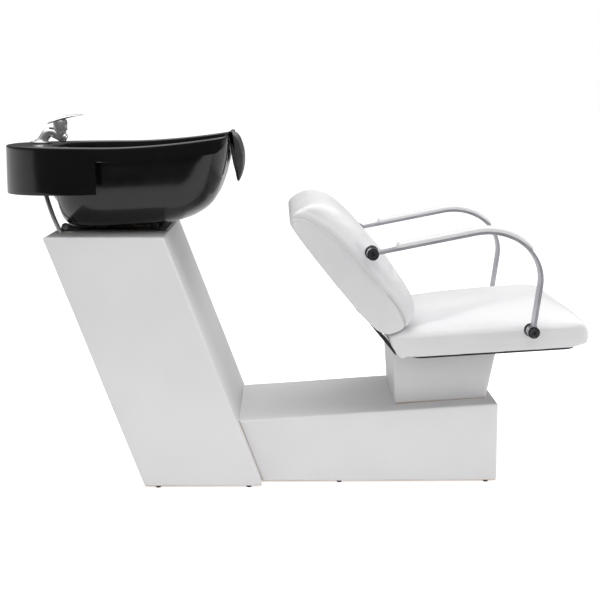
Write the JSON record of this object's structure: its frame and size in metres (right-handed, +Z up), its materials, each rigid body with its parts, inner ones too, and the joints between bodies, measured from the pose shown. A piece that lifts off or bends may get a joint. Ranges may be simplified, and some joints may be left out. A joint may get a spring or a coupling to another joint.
{
  "type": "shampoo backwash unit",
  "caption": "Salon backwash unit: tilting black basin with mixer tap on a leaning white column, joined by a low beam to a reclined upholstered chair with curved arms.",
  "frame": {"origin": "on the floor, at the middle of the bounding box in plan", "axes": "+X from the basin to the foot end of the chair, +Z up, +Y to the sitter's left as they face +X"},
  "size_m": [1.29, 0.596, 0.8175],
  "materials": {
    "plywood": "raw plywood",
    "carcass_leatherette": "satin white leatherette",
    "upholstery": "soft white vinyl",
    "arm_steel": "satin silver",
    "arm_pad": "soft white polyurethane",
    "polished_steel": "polished",
    "bolt_steel": "zinc plated",
    "black_steel": "black powder coat",
    "bracket_grey": "grey zinc",
    "pan_board": "black board",
    "basin_plastic": "high gloss black",
    "neck_rubber": "satin black",
    "rubber": "matt black",
    "nylon": "moulded",
    "tap_chrome": "mirror chrome",
    "brass": "machined",
    "hose_braid": "braided",
    "hose_fitting": "nickel plated"
  },
  "bodies": {
    "base": {"access_panel": "carcass_leatherette", "arm_bar_left": "arm_steel", "arm_bar_right": "arm_steel", "arm_pad_left": "arm_pad", "arm_pad_right": "arm_pad", "backrest_body": "upholstery", "backrest_pad": "upholstery", "base_bracket": "bracket_grey", "beam_cover": "carcass_leatherette", "beam_end_panel": "plywood", "beam_rear_batten": "plywood", "beam_side_panels": "plywood", "beam_top_panel": "plywood", "column_cover": "carcass_leatherette", "column_front_panel": "plywood", "column_rear_panel": "plywood", "column_side_panels": "plywood", "column_top_board": "plywood", "plinth_cover": "carcass_leatherette", "plinth_end_panels": "plywood", "plinth_side_panels": "plywood", "plinth_top_board": "plywood", "seat_board": "plywood", "seat_cushion": "upholstery", "seat_pan": "pan_board", "arm_sleeves_left": "polished_steel", "arm_sleeves_right": "polished_steel", "arm_spacers": "polished_steel", "arm_bolts": "bolt_steel", "joining_bolts": "bolt_steel", "seat_bolts": "bolt_steel", "access_screws": "bolt_steel", "base_screws": "bolt_steel", "back_bracket_left": "black_steel", "back_bracket_right": "black_steel", "bracket_screws": "black_steel", "hinge_pins": "polished_steel", "feet": "rubber", "stop_buffers": "rubber"},
    "basin": {"basin": "basin_plastic", "neck_rest": "neck_rubber", "tilt_bracket": "black_steel", "waste": "polished_steel", "waste_seal": "rubber", "waste_nut": "nylon", "tap_gasket": "rubber", "tap_body": "tap_chrome", "tap_aerator": "tap_chrome", "tap_nut": "brass", "supply_hose_left": "hose_braid", "supply_hose_right": "hose_braid", "hose_nuts": "hose_fitting"},
    "strainer": {"hair_strainer": "polished_steel"},
    "turret": {"tap_cartridge": "tap_chrome"},
    "lever": {"tap_lever": "tap_chrome", "lever_pin": "polished_steel"}
  },
  "joints": [
    {"name": "basin_tilt", "type": "hinge", "parent": "base", "child": "basin", "pos_m": [-0.507, 0, 0.568], "axis": [0, -1, 0], "range_deg": [0, 12]},
    {"name": "strainer_lift", "type": "slide", "parent": "basin", "child": "strainer", "axis": [-0.0523, 0, 0.9986], "range_m": [0, 0.05]},
    {"name": "tap_turn", "type": "hinge", "parent": "basin", "child": "turret", "pos_m": [-0.528, 0, 0.789], "axis": [0, 0, 1], "range_deg": [-50, 50]},
    {"name": "tap_lift", "type": "hinge", "parent": "turret", "child": "lever", "pos_m": [-0.528, 0, 0.789], "axis": [0, -1, 0], "range_deg": [0, 12]}
  ]
}
